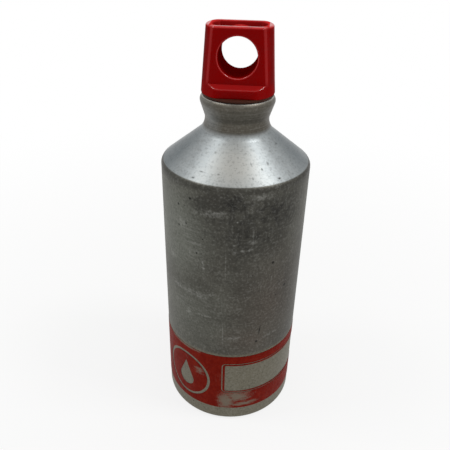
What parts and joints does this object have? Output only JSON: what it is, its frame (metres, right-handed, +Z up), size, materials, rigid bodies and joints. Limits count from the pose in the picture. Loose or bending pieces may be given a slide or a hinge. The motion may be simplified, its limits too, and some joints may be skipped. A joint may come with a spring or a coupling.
{
  "type": "camping fuel bottle",
  "caption": "Aluminium camping fuel bottle with a conical shoulder and a screw cap whose grip has a finger eye.",
  "frame": {"origin": "centre of the foot, on the surface the bottle stands on", "axes": "+Z up along the bottle's axis, -Y towards the front of the print, with the cap's eye along Y when closed"},
  "size_m": [0.0732, 0.0732, 0.2094],
  "materials": {
    "shell": "dull, brushed and scuffed",
    "insert": "machined",
    "print": "worn lacquer print",
    "gasket": "matte",
    "cap": "glossy moulding"
  },
  "bodies": {
    "bottle": {"bottle_shell": "shell", "neck_thread_insert": "insert", "printed_band": "print"},
    "seal": {"cap_gasket": "gasket"},
    "cap": {"screw_cap": "cap"}
  },
  "joints": [
    {"name": "cap_lift", "type": "slide", "parent": "bottle", "child": "seal", "axis": [0, 0, 1], "range_m": [0, 0.018]},
    {"name": "cap_turn", "type": "hinge", "parent": "seal", "child": "cap", "pos_m": [0, 0, 0.18021], "axis": [0, 0, 1], "range_deg": [0, 1620]}
  ],
  "couplings": [
    {"joint": "cap_lift", "follows": "cap_turn", "m_per_rad": 0.0006366}
  ]
}
